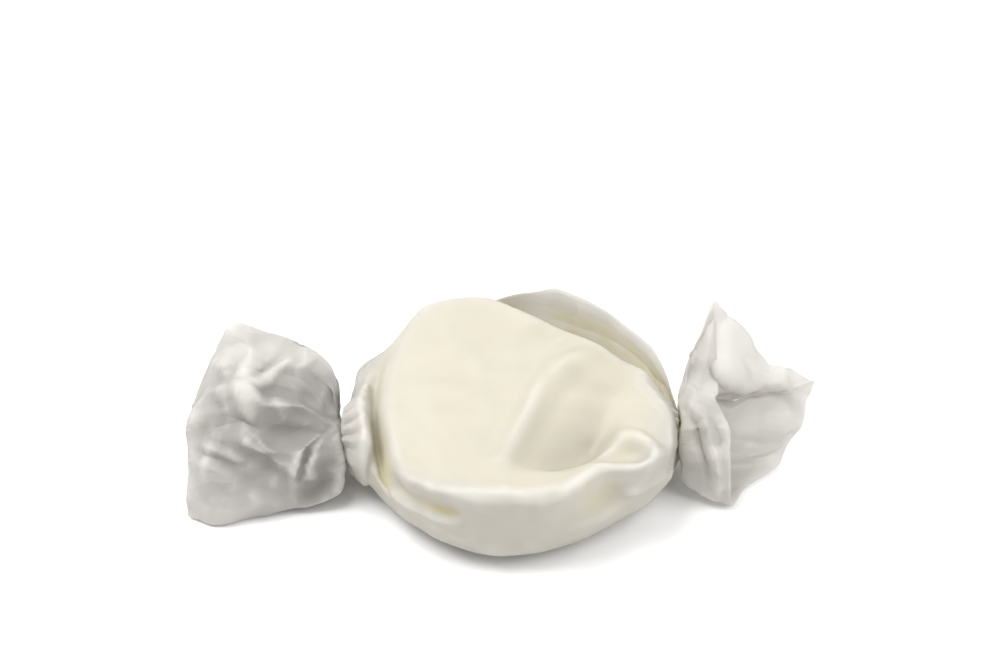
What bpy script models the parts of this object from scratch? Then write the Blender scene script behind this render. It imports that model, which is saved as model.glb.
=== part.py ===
"""Salt water taffy in a waxed-paper twist wrapper.

A puck of taffy lies flat on its underside. One sheet of waxed paper is rolled round it about the X axis, its free
edges overlap at the back, and at each side the sheet gathers into a twisted neck and spreads into a crumpled fan.

Metres, +Z up. The origin is the centre of the flat underside. +X runs along the twist axis, and -Y is the front.
"""

import math

import bmesh
import bpy
import numpy as np

MM = 0.001

# The puck, in millimetres like every size below
PUCK_RADIUS = 14.0
PUCK_MIDDLE_Z = 4.9
PUCK_TOP_Z = 9.5
PUCK_UNDERSIDE_Z = 0.55
PUCK_EDGE_POWER = 4.6
TOP_FALL_PER_MM = 0.085
PLAN_CORNERS = ((124, 0.7, 26), (100, -0.3, 24), (192, 0.3, 30), (-105, 0.3, 34), (-42, -0.9, 48), (-140, -0.4, 30))
PUCK_TURNS = 40
PUCK_BANDS = 18

# The paper
PAPER_THICKNESS = 0.25
PAPER_CLEARANCE = 0.6
OVERLAP_LIFT = 0.7
FREE_EDGE_STANDS = 0.35
OVERLAP_ENDS_AT = math.radians(8)
FLOOR_GAP = 0.35

# The necks, left and right, where the paper is gathered beside the puck: centre, half width and half height
LEFT_NECK = (-15.3, -1.6, 4.3, 2.0, 3.3)
RIGHT_NECK = (14.5, -1.0, 4.0, 2.0, 3.2)
NECK_PLEATS = 13
PLEAT_DEPTH = 0.2
TWIST_LENGTH = 0.6
TWIST_RADIUS = 2.2
CONE_SPREAD_Y = 1.3
CONE_SPREAD_Z = 0.45

# The fans. One row for each fold line, in the order met going round from the free edge: the way it points round the
# twist axis (0 back, 90 down, 180 front, 270 up), how far out its rim is, and its distance from the axis at each
# station between neck and rim. A fold line leaves the neck sideways, so its way out goes by the station squared.
STATIONS = (0.0, 0.16, 0.36, 0.56, 0.76, 1.0)
LEFT_FOLDS = (
    (-8, 12.6, 3.8, 6.4, 7.9, 7.8, 4.6),
    (45, 13.5, 3.2, 4.6, 5.4, 5.3, 3.6),
    (92, 14.0, 3.0, 3.7, 3.8, 3.8, 3.4),
    (148, 12.4, 4.2, 5.8, 7.0, 7.9, 7.6),
    (178, 14.2, 3.2, 4.6, 5.6, 5.6, 3.8),
    (215, 14.2, 2.6, 3.6, 4.6, 5.0, 2.8),
    (255, 13.6, 2.6, 3.4, 3.5, 5.8, 3.0),
    (285, 12.6, 3.6, 5.6, 8.0, 6.4, 4.8),
    (316, 10.8, 5.4, 8.9, 9.6, 10.6, 10.0),
    (340, 12.2, 4.6, 7.4, 8.8, 9.2, 5.8),
)
RIGHT_FOLDS = (
    (-20, 12.6, 3.2, 4.0, 4.8, 5.2, 5.4),
    (22, 11.6, 2.6, 3.0, 3.4, 3.2, 2.8),
    (83, 9.6, 2.6, 3.0, 3.4, 3.4, 3.0),
    (128, 6.2, 3.2, 3.8, 4.4, 4.6, 4.8),
    (150, 4.2, 3.8, 4.6, 5.6, 6.4, 6.9),
    (195, 4.2, 3.2, 4.0, 4.6, 5.0, 5.2),
    (244, 4.0, 3.2, 4.2, 4.8, 4.8, 3.8),
    (284, 2.8, 4.6, 5.1, 5.3, 5.4, 5.4),
    (301, 2.4, 5.2, 7.2, 9.0, 10.8, 13.0),
    (309, 4.2, 5.0, 6.8, 8.5, 10.4, 12.0),
    (318, 8.2, 4.2, 5.4, 6.6, 7.4, 7.6),
    (332, 12.6, 3.2, 4.2, 5.0, 5.2, 5.4),
)

# The mesh of the sheet
RINGS_ON_BODY = 31
RINGS_IN_TWIST = 2
RINGS_IN_FAN = 9
STRIPS_AROUND = 50


def smooth_step(value):
    """0 below 0, 1 above 1, and an even ease between."""
    t = np.clip(value, 0.0, 1.0)
    return t * t * (3.0 - 2.0 * t)


def dent(x, y, at_x, at_y, radius_x, radius_y, turn_deg=0.0):
    """1 at a dent's centre, falling smoothly to 0 at its outline."""
    turn = math.radians(turn_deg)
    along = (x - at_x) * math.cos(turn) + (y - at_y) * math.sin(turn)
    across = (y - at_y) * math.cos(turn) - (x - at_x) * math.sin(turn)
    return smooth_step(1.0 - np.sqrt((along / radius_x) ** 2 + (across / radius_y) ** 2))


def plan_radius(angle):
    """The puck's radius in plan, with the corners and flats that hand cutting leaves."""
    radius = PUCK_RADIUS + 0.12 * np.cos(8.0 * angle + 1.0)
    for clock, extra, spread in PLAN_CORNERS:
        off = np.abs((angle - math.radians(clock) + math.pi) % math.tau - math.pi)
        radius = radius + extra * smooth_step(1.0 - off / math.radians(spread))
    return radius


def puck_top(x, y, chamfered):
    """Height of the puck's top face. chamfered is how much of the cut-away back right corner it takes, 0 to 1."""
    height = PUCK_TOP_Z + TOP_FALL_PER_MM * np.minimum(y, 8.0)
    height = height - 1.5 * dent(x, y, 5.4, -5.0, 8.0, 5.2, -12)
    height = height + 0.75 * dent(x, y, 10.6, -5.8, 3.0, 2.4, 30)
    height = height + 0.4 * dent(x, y, 1.0, -1.5, 2.2, 9.0, -18)
    height = height - 0.35 * dent(x, y, 4.2, 6.6, 3.0, 2.0, 10)
    past_chord = 0.75 * (x - 2.2) + 0.66 * (y - 11.7)
    return height - chamfered * 3.4 * smooth_step(past_chord / 5.5)


def puck_share(x, y, z, clearance, chamfered):
    """Below 1 inside the puck and above 1 outside it, with clearance added all round."""
    radius = plan_radius(np.arctan2(y, x)) + clearance
    top = puck_top(x, y, chamfered) + clearance - PUCK_MIDDLE_Z
    bottom = PUCK_MIDDLE_Z - PUCK_UNDERSIDE_Z + clearance + 0.35
    height = np.where(z > PUCK_MIDDLE_Z, top, bottom)
    flat = np.hypot(x, y) / radius
    return flat**PUCK_EDGE_POWER + (np.abs(z - PUCK_MIDDLE_Z) / height) ** PUCK_EDGE_POWER


def puck_reach(x, centre_y, centre_z, way, clearance, chamfered):
    """How far the puck reaches from a point of the twist axis, in the section at x, in direction way."""
    near, far = np.zeros_like(way), np.full_like(way, 30.0)
    for _ in range(34):
        middle = 0.5 * (near + far)
        y = centre_y + middle * np.cos(way)
        z = centre_z - middle * np.sin(way)
        inside = puck_share(x, y, z, clearance, chamfered) < 1.0
        near, far = np.where(inside, middle, near), np.where(inside, far, middle)
    return near


def body_ring(x, neck, share):
    """One ring of the sheet round the puck at section x. share runs from the outer free edge, 0, to the inner, 1."""
    to_go = abs(neck[0] - x)
    to_neck = 1.0 - smooth_step(to_go / 6.0)
    centre_y, centre_z = to_neck * neck[1], PUCK_MIDDLE_Z + to_neck * (neck[2] - PUCK_MIDDLE_Z)
    outer_edge = -19.0 - 17.0 * smooth_step((x - 7.0) / 7.0) + 9.0 * smooth_step((-x - 1.0) / 6.0)
    start, finish = math.radians(outer_edge), math.radians(372.0)
    way = start + (finish - start) * share
    chamfered = smooth_step((way - math.radians(200)) / math.radians(40))
    reach = puck_reach(x, centre_y, centre_z, way, PAPER_CLEARANCE, chamfered)
    wide = neck[3] + CONE_SPREAD_Y * to_go
    high = neck[4] + CONE_SPREAD_Z * to_go
    cone = 1.0 / np.sqrt((np.cos(way) / wide) ** 2 + (np.sin(way) / high) ** 2)
    pleats = 1.0 - PLEAT_DEPTH * (0.5 + 0.5 * np.cos(share * NECK_PLEATS * math.tau))
    reach = np.maximum(reach, cone * pleats * (1.0 - smooth_step((to_go - 2.0) / 2.0)))
    lifted = 1.0 - smooth_step((way - OVERLAP_ENDS_AT) / math.radians(55))
    standing = (1.0 - smooth_step((way - start) / math.radians(30))) * smooth_step((x - 1.0) / 6.0)
    reach = reach + OVERLAP_LIFT * lifted + FREE_EDGE_STANDS * standing * (1.0 - to_neck)
    y = centre_y + reach * np.cos(way)
    z = np.maximum(centre_z - reach * np.sin(way), 0.0)
    return np.stack([np.full_like(way, x), y, z], axis=1), way


def twist_rings(neck, way, turned, share):
    """The rings of the twist, from the neck outwards, turning from the body's order round the axis to the fan's."""
    side = math.copysign(1.0, neck[0])
    rings = []
    for k in range(1, RINGS_IN_TWIST + 1):
        t = k / RINGS_IN_TWIST
        angle = way + (turned - way) * t
        pleat = (1.0 - 0.25 * math.sin(math.pi * t)) * (0.9 + 0.1 * np.cos(share * NECK_PLEATS * math.tau))
        lift = OVERLAP_LIFT * (1.0 - smooth_step(share * 6.0)) * (1.0 - t)
        radius_y = (neck[3] + (TWIST_RADIUS - neck[3]) * t) * pleat + lift
        radius_z = (neck[4] + (TWIST_RADIUS - neck[4]) * t) * pleat + lift
        x = np.full_like(share, neck[0] + side * TWIST_LENGTH * t)
        rings.append(np.stack([x, neck[1] + radius_y * np.cos(angle), neck[2] - radius_z * np.sin(angle)], axis=1))
    return rings


def fan_rings(neck, folds, share):
    """The rings of a fan, outwards. Each cell between fold lines and stations is two flat facets."""
    side = math.copysign(1.0, neck[0])
    folds = np.array(folds, float)
    clock, reach = np.radians(folds[:, 0]), folds[:, 1]
    radius = np.hstack([np.full((len(folds), 1), TWIST_RADIUS), folds[:, 2:]])
    nodes = np.zeros((len(STATIONS), len(folds), 3))
    for i, out in enumerate(STATIONS):
        nodes[i, :, 0] = neck[0] + side * (TWIST_LENGTH + out**2 * reach)
        nodes[i, :, 1] = neck[1] + radius[:, i] * np.cos(clock)
        nodes[i, :, 2] = neck[2] - radius[:, i] * np.sin(clock)
    column = share * (len(folds) - 1)
    j = np.minimum(column.astype(int), len(folds) - 2)
    b = (column - j)[:, None]
    rings = []
    for k in range(1, RINGS_IN_FAN + 1):
        row = np.interp(k / RINGS_IN_FAN, STATIONS, range(len(STATIONS)))
        i = min(int(row), len(STATIONS) - 2)
        a = row - i
        near_left, near_right, far_left, far_right = nodes[i, j], nodes[i, j + 1], nodes[i + 1, j], nodes[i + 1, j + 1]
        through_far = near_left * (1 - np.maximum(a, b)) + far_right * np.minimum(a, b)
        through_far = through_far + np.where(a > b, far_left, near_right) * np.abs(a - b)
        through_near = near_left * np.maximum(1 - a - b, 0) + far_right * np.maximum(a + b - 1, 0)
        through_near = through_near + near_right * np.minimum(b, 1 - a) + far_left * np.minimum(a, 1 - b)
        rings.append(np.where(((i + j) % 2 == 0)[:, None], through_far, through_near))
    return rings


def paper_points():
    """The outer face of the sheet: rings from the left rim to the right rim, each from the outer free edge round."""
    share = np.linspace(0.0, 1.0, STRIPS_AROUND + 1)
    spacing = 0.5 + 0.5 * np.sin(1.35 * np.linspace(-1.0, 1.0, RINGS_ON_BODY)) / math.sin(1.35)
    sections = LEFT_NECK[0] + (RIGHT_NECK[0] - LEFT_NECK[0]) * spacing
    body = [body_ring(x, LEFT_NECK if x < 0 else RIGHT_NECK, share) for x in sections]
    rings = [ring for ring, _ in body]
    for neck, folds, way in ((LEFT_NECK, LEFT_FOLDS, body[0][1]), (RIGHT_NECK, RIGHT_FOLDS, body[-1][1])):
        clocks = np.radians(np.array(folds, float)[:, 0])
        turned = np.interp(share, np.linspace(0.0, 1.0, len(folds)), clocks)
        end = twist_rings(neck, way, turned, share) + fan_rings(neck, folds, share)
        for ring in end:
            ring[:, 2] = np.maximum(ring[:, 2], FLOOR_GAP)
        rings = end[::-1] + rings if neck[0] < 0 else rings + end
    return np.array(rings)


def painted(obj, name, colour, roughness):
    """A Principled material with the part's colour and roughness."""
    material = bpy.data.materials.new(name)
    material.use_nodes = True
    shader = material.node_tree.nodes["Principled BSDF"]
    shader.inputs["Base Color"].default_value = (*colour, 1.0)
    shader.inputs["Roughness"].default_value = roughness
    shader.inputs["Metallic"].default_value = 0.0
    obj.data.materials.append(material)


def make_taffy(collection):
    """The puck: a ball's rings and turns, drawn out to the puck's own outline."""
    mesh = bpy.data.meshes.new("taffy")
    ball = bmesh.new()
    bmesh.ops.create_uvsphere(ball, u_segments=PUCK_TURNS, v_segments=PUCK_BANDS, radius=1.0)
    for vertex in ball.verts:
        turn = math.atan2(vertex.co.y, vertex.co.x)
        lean = math.asin(max(-1.0, min(1.0, vertex.co.z)))
        out = abs(math.cos(lean)) ** (2.0 / PUCK_EDGE_POWER)
        up = abs(math.sin(lean)) ** (2.0 / PUCK_EDGE_POWER)
        radius = float(plan_radius(np.array(turn))) * out
        x, y = radius * math.cos(turn), radius * math.sin(turn)
        if lean >= 0.0:
            z = PUCK_MIDDLE_Z + (float(puck_top(x, y, 1.0)) - PUCK_MIDDLE_Z) * up
        else:
            z = max(PUCK_MIDDLE_Z - (PUCK_MIDDLE_Z - PUCK_UNDERSIDE_Z + 0.35) * up, PUCK_UNDERSIDE_Z)
        vertex.co = (x * MM, y * MM, z * MM)
    ball.to_mesh(mesh)
    ball.free()
    mesh.shade_smooth()
    taffy = bpy.data.objects.new("taffy", mesh)
    collection.objects.link(taffy)
    painted(taffy, "taffy cream", (0.86, 0.80, 0.62), 0.45)
    return taffy


def make_wrapper(collection):
    """The sheet: a grid laid along its rolled and twisted form, and given its thickness inwards."""
    points = paper_points()
    rings, strips = points.shape[0], points.shape[1]
    mesh = bpy.data.meshes.new("wrapper")
    sheet = bmesh.new()
    bmesh.ops.create_grid(sheet, x_segments=rings - 1, y_segments=strips - 1, size=1.0)
    for vertex in sheet.verts:
        i = round((vertex.co.x + 1.0) * 0.5 * (rings - 1))
        j = round((vertex.co.y + 1.0) * 0.5 * (strips - 1))
        vertex.co = points[i, j] * MM
    sheet.to_mesh(mesh)
    sheet.free()
    mesh.shade_smooth()
    wrapper = bpy.data.objects.new("wrapper", mesh)
    collection.objects.link(wrapper)
    painted(wrapper, "waxed paper", (0.90, 0.89, 0.86), 0.5)
    thickness = wrapper.modifiers.new("paper thickness", "SOLIDIFY")
    thickness.thickness = PAPER_THICKNESS * MM
    thickness.offset = -1.0
    return wrapper


def main():
    for obj in list(bpy.data.objects):
        bpy.data.objects.remove(obj)
    collection = bpy.data.collections.new("salt water taffy")
    bpy.context.scene.collection.children.link(collection)
    make_taffy(collection)
    make_wrapper(collection)


main()
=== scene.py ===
"""Salt water taffy in a waxed-paper twist wrapper: the dressed model.

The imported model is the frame. The puck and the paper are modelled again at full detail over it, in place.
Sizes are in millimetres inside the shape functions, and in metres in the mesh. The lie is that of the frame:
+X along the twist axis, -Y the front, +Z up, and the floor at 0.
"""

import math

import bpy
import numpy as np
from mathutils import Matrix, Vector
from mathutils.bvhtree import BVHTree


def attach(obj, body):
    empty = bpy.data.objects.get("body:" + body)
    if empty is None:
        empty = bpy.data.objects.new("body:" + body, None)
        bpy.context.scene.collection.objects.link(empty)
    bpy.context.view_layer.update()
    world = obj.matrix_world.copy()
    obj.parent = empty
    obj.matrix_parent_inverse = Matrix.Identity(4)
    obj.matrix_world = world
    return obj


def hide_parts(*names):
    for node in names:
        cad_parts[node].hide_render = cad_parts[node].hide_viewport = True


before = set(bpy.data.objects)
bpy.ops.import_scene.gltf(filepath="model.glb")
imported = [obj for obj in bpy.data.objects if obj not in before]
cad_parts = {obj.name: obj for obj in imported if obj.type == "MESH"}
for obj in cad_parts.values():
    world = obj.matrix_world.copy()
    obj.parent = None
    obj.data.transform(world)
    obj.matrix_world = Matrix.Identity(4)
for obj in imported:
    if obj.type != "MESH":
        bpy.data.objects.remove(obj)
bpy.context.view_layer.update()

bl_info = {
    "name": "Twist-wrapped taffy",
    "version": (1, 0, 0),
    "blender": (4, 5, 0),
    "location": "View3D > Sidebar > Taffy",
    "description": "Builds a puck of taffy in a twist of waxed paper, with its floor, lights and camera",
    "category": "Add Mesh",
}

MM = 0.001

# The puck: heights of its waist and underside, how far its hull would sag below the underside if it weren't
# made flat, how square its lower rim is, how far the candy lies within the hull, and how square its upper
# rim is, by clock
WAIST_Z = 4.9
UNDERSIDE_Z = 0.5
UNDERSIDE_SAG = 0.35
BOTTOM_RIM_POWER = 5.0
CANDY_INSET = 0.3
TOP_RIM_POWERS = (
    (0, 14), (60, 20), (120, 16), (150, 12), (200, 12), (228, 24), (250, 36), (312, 36), (335, 16),
)

# The top face from the front to the back, a shallow dish with a raised front rim: y, height
FACE_PROFILE = (
    (-14.6, 7.8), (-13.5, 8.2), (-12.0, 8.2), (-10.0, 8.0), (-8.0, 7.95), (-6.0, 8.1), (-3.0, 8.45),
    (0.0, 8.85), (3.0, 9.25), (6.0, 9.65), (9.0, 9.95), (11.5, 10.0), (13.0, 9.7),
)

# Outline of the paper's top face, and of the bulge below it: (clock in degrees from +X towards +Y, radius)
FACE_OUTLINE = (
    (0, 12.5), (6, 12.0), (12, 12.0), (16, 10.8), (22, 9.8), (31, 9.5), (49, 9.6), (62, 9.9), (75, 10.6),
    (91, 12.3), (108, 13.0), (127, 14.0), (141, 12.8), (157, 12.0), (180, 11.9), (204, 12.1), (217, 13.2),
    (229, 14.1), (248, 14.3), (270, 14.1), (286, 14.5), (293, 13.8), (301, 12.8), (308, 12.6), (315, 14.0),
    (320, 14.8), (335, 14.9), (345, 14.6), (351, 13.9),
)
WAIST_OUTLINE = (
    (0, 14.8), (14, 14.6), (30, 14.1), (60, 14.0), (100, 13.8), (124, 14.7), (138, 15.4), (152, 15.9),
    (166, 15.7), (178, 15.3), (190, 14.5), (204, 13.9), (222, 13.7), (255, 14.2), (290, 14.0), (310, 13.8),
    (325, 14.4), (345, 14.9),
)
# Outline of the candy's own bulge, which stays clear of the paper's pocket and flap
CANDY_OUTLINE = (
    (0, 13.6), (27, 12.0), (60, 11.9), (78, 12.6), (108, 13.2), (127, 13.4), (151, 13.0), (190, 12.9),
    (229, 13.6), (288, 13.6), (340, 13.6),
)
# How far the foot of the wall is drawn in, by clock
UNDERCUTS = ((0, 1.0), (270, 1.0), (290, 1.6), (306, 1.8), (330, 1.8), (345, 1.0))

# The corner of the face that is cut off at the back right: a place on its edge, the way that the cut faces,
# and its depth
CORNER_PLACE = (1.5, 10.1)
CORNER_FACING = math.radians(54.5)
CORNER_DEPTH = 3.2

# Pocket of loose paper beside the left of the face: its depth, and how far the paper past it stands up
POCKET_DEPTH = 2.2
POCKET_WALL = 0.6

# Dents (negative) and swellings of the top face: x, y, radius along and across, turn in degrees, height
FACE_FORMS = (
    (5.8, 2.4, 5.0, 3.0, -20, 0.70),
    (3.4, 7.4, 3.0, 1.6, 8, -0.55),
    (9.8, -0.8, 3.4, 4.6, -12, -0.45),
    (-6.5, 1.0, 5.0, 7.5, 0, 0.15),
    (-8.8, -5.5, 2.4, 5.5, 10, -0.15),
)

# Where a valley is read for its mean, which rounds its corners off: across and back
EASING_SHIFTS = (
    (0.0, 0.0), (0.4, 0.2), (-0.2, 0.4), (-0.4, -0.2), (0.2, -0.4), (0.8, -0.5), (0.5, 0.8), (-0.8, 0.5),
    (-0.5, -0.8),
)

# Valleys of the top face, each followed with its steep side at the right: width of the long slope at the
# left, width of the steep side, and the points that it passes, with the depth at each: x, y, depth
FACE_VALLEYS = (
    (5.4, 2.6, ((-0.6, -8.2, 0.1), (1.2, -8.0, 0.9), (3.4, -7.9, 1.8), (5.6, -6.8, 2.4), (6.8, -5.4, 2.2),
                (7.5, -3.9, 1.4), (7.7, -2.4, 0.6), (7.6, -1.0, 0.0))),
    (1.5, 1.2, ((4.8, -8.2, 0.0), (6.8, -8.2, 0.7), (9.4, -7.9, 1.0), (11.0, -8.2, 0.8), (12.0, -8.6, 0.0))),
)

# Round swells of the paper on the top face: half width, height, and the points that each passes, x and y
FACE_ROLLS = (
    (1.7, 1.05, ((9.6, -5.6), (10.8, -6.1), (12.0, -7.3), (12.5, -8.6), (12.0, -9.8))),
    (1.9, 0.50, ((-5.2, -12.9), (0.8, -13.4), (4.3, -12.9), (6.2, -11.1), (7.5, -9.7), (9.5, -9.8),
                 (12.5, -9.2))),
    (2.2, 0.80, ((6.8, 3.8), (4.2, 2.0), (2.4, -0.4), (1.2, -3.1), (-0.2, -6.2), (-1.2, -8.6))),
)

# Creases of the paper on the top face: half width, height, and the points that each passes, x and y
FACE_CREASES = (
    (1.1, 0.18, ((2.6, 2.4), (1.9, 0.4), (1.3, -3.1), (0.0, -6.2), (-0.9, -8.6))),
    (0.8, 0.12, ((4.6, 8.4), (3.9, 5.0), (2.6, 2.4))),
    (0.6, 0.12, ((-0.3, -9.0), (-1.1, -11.2), (-0.9, -13.2))),
    (1.2, 0.07, ((-8.6, 10.4), (-3.5, 3.0), (-2.0, -4.5))),
    (1.0, 0.05, ((-11.0, -2.0), (-7.0, -7.0), (-5.4, -12.6))),
    (0.8, 0.40, ((0.9, 10.9), (4.5, 8.5), (6.3, 7.1), (8.1, 4.8), (9.2, 3.6), (11.6, 2.5))),
    (0.8, 0.45, ((11.6, 2.5), (11.6, 1.1), (12.5, -0.4), (13.5, -2.2), (14.2, -3.9), (14.3, -6.0))),
    (0.8, 0.12, ((-8.4, 11.0), (-10.4, 5.9), (-11.2, 0.8), (-11.0, -2.9))),
    (0.7, 0.18, ((-9.4, -10.8), (-5.2, -13.2), (0.0, -13.8), (4.1, -13.7), (6.0, -11.4), (7.5, -9.9),
                 (9.4, -10.4), (12.7, -9.2))),
)

# The necks: centre x, y, z, half width, half height
LEFT_NECK = (-15.6, -1.6, 4.3, 1.9, 3.1)
RIGHT_NECK = (14.7, -1.0, 4.0, 1.9, 3.1)
TWIST_LENGTH = 0.3
TWIST_RADIUS = 2.0

# The gathers: their number and seeds, their depth as a share of the radius in the neck and in the twist, and
# in millimetres beside the neck and in the fans
PLEATS = 17
LEFT_SEED = 11
RIGHT_SEED = 23
NECK_GATHER = 0.20
TWIST_GATHER = 0.26
SHOULDER_GATHER = 0.16
FAN_GATHER = 0.9

# How far the paper lies off the puck's hull
PAPER_GAP = 0.35

# A distance past the whole model from any place in it, and how often that is halved to find the hull
FAR_OUT = 30.0
HALVINGS = 26

# How the paper presses on the candy: rounds, and the most that one round pushes a point
PRESS_ROUNDS = 4
LARGEST_PRESS = 1.5

# Where the sheet's edges lie on the body, as the way round the twist axis in degrees (0 back, 90 down,
# 180 front, 270 up): the outer free edge by x, and the inner edge below it
FREE_EDGE = (
    (-15.6, -4), (-8.0, -6), (-3.0, -12), (1.0, -21), (5.0, -21), (9.0, -25), (12.6, -32), (14.8, -46),
)
INNER_EDGE = 372.0

# How far the overlap lies off the layer under it, how far the lip of the free edge rises over that, and how
# far the flap behind the cut corner stands off: x, distance
OVERLAP_RISE = 0.55
LIP_RISE = 0.9
FLAP_STAND = ((0.0, 0.0), (3.3, 1.3), (9.3, 2.0), (12.0, 2.3), (13.8, 0.9), (14.7, 0.0))

# The left fan: way out at each station, then for each fold line its way round the twist axis and its distance
# from it at each station
LEFT_STATIONS = (0.1, 1.3, 2.9, 4.7, 6.7, 8.3, 10.0, 11.8, 13.5)
LEFT_FOLDS = (
    (-32, 5.4, 7.4, 8.8, 9.3, 9.7, 9.8, 9.7, 7.4, 4.0),
    (-10, 4.4, 6.2, 7.2, 8.0, 8.4, 8.4, 7.8, 6.0, 4.0),
    (15, 3.2, 5.0, 6.0, 6.8, 7.2, 6.8, 6.8, 5.8, 4.2),
    (42, 2.8, 4.4, 5.4, 5.5, 5.9, 5.4, 5.6, 4.6, 3.8),
    (92, 2.6, 3.6, 3.8, 3.8, 3.8, 3.8, 3.8, 3.6, 3.2),
    (124, 3.6, 4.4, 4.7, 4.7, 4.7, 4.7, 4.7, 4.6, 4.0),
    (145, 4.6, 5.6, 6.3, 6.7, 7.2, 7.6, 8.0, 8.4, 7.2),
    (160, 3.4, 4.2, 4.6, 5.6, 6.2, 6.6, 7.2, 7.0, 5.6),
    (187, 2.6, 3.6, 4.2, 4.9, 5.0, 4.7, 5.0, 4.6, 3.4),
    (208, 2.3, 3.1, 3.8, 4.4, 4.8, 4.4, 4.2, 3.6, 2.8),
    (232, 2.2, 2.9, 3.4, 3.8, 4.2, 4.4, 4.0, 3.2, 2.4),
    (258, 2.2, 2.8, 3.2, 3.4, 3.8, 4.8, 4.6, 3.6, 2.6),
    (281, 2.3, 3.2, 3.7, 4.0, 4.4, 5.6, 5.0, 3.8, 2.8),
    (295, 2.6, 3.9, 4.8, 5.4, 5.9, 6.2, 5.6, 4.6, 3.4),
    (303, 4.2, 5.6, 6.6, 7.0, 7.0, 7.2, 7.4, 5.8, 3.2),
    (315, 5.2, 7.4, 8.9, 9.5, 10.0, 10.3, 10.4, 7.6, 3.6),
    (336, 5.0, 7.0, 8.2, 8.6, 9.0, 9.0, 8.8, 6.8, 3.8),
)

# The right fan, one row for each fold line: its way round the axis at the neck, then way out, distance from
# the axis and way round it at its inner ridge, the same three at its rim, and how far the paper below the
# ridge is pushed back, in degrees
RIGHT_FOLDS = (
    (-35, 10.0, 4.6, -39, 12.5, 5.5, -34, 6),
    (-8, 10.5, 3.1, -14, 11.9, 4.3, -15, 0),
    (22, 10.2, 2.3, 15, 11.2, 2.7, 18, 0),
    (58, 8.6, 2.4, 58, 9.9, 2.8, 58, 0),
    (88, 4.2, 3.4, 90, 9.2, 3.0, 84, 0),
    (122, 3.0, 4.0, 126, 5.9, 4.2, 126, 0),
    (146, 2.4, 5.6, 147, 4.5, 6.6, 147, 0),
    (166, 2.2, 4.3, 170, 4.4, 4.6, 165, 0),
    (188, 2.2, 4.1, 192, 4.3, 3.9, 190, 0),
    (212, 2.2, 3.3, 214, 4.3, 3.7, 214, 0),
    (236, 2.2, 4.3, 238, 4.2, 3.9, 236, 0),
    (256, 2.0, 4.4, 256, 3.7, 4.2, 254, 0),
    (276, 1.4, 5.0, 278, 2.9, 5.0, 271, 0),
    (292, 1.0, 5.2, 294, 3.3, 4.8, 282, 0),
    (300, 1.2, 8.6, 305, 2.8, 13.0, 305, 0),
    (306, 4.1, 5.3, 292, 4.4, 11.1, 307.6, 24),
    (311, 5.9, 4.9, 302, 6.6, 8.8, 313, 26),
    (316, 7.5, 5.3, 311, 8.2, 7.1, 316, 24),
    (322, 9.2, 5.4, 317, 10.2, 6.7, 320, 20),
    (332, 10.0, 4.6, 326, 12.7, 5.4, 331, 10),
)

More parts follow.
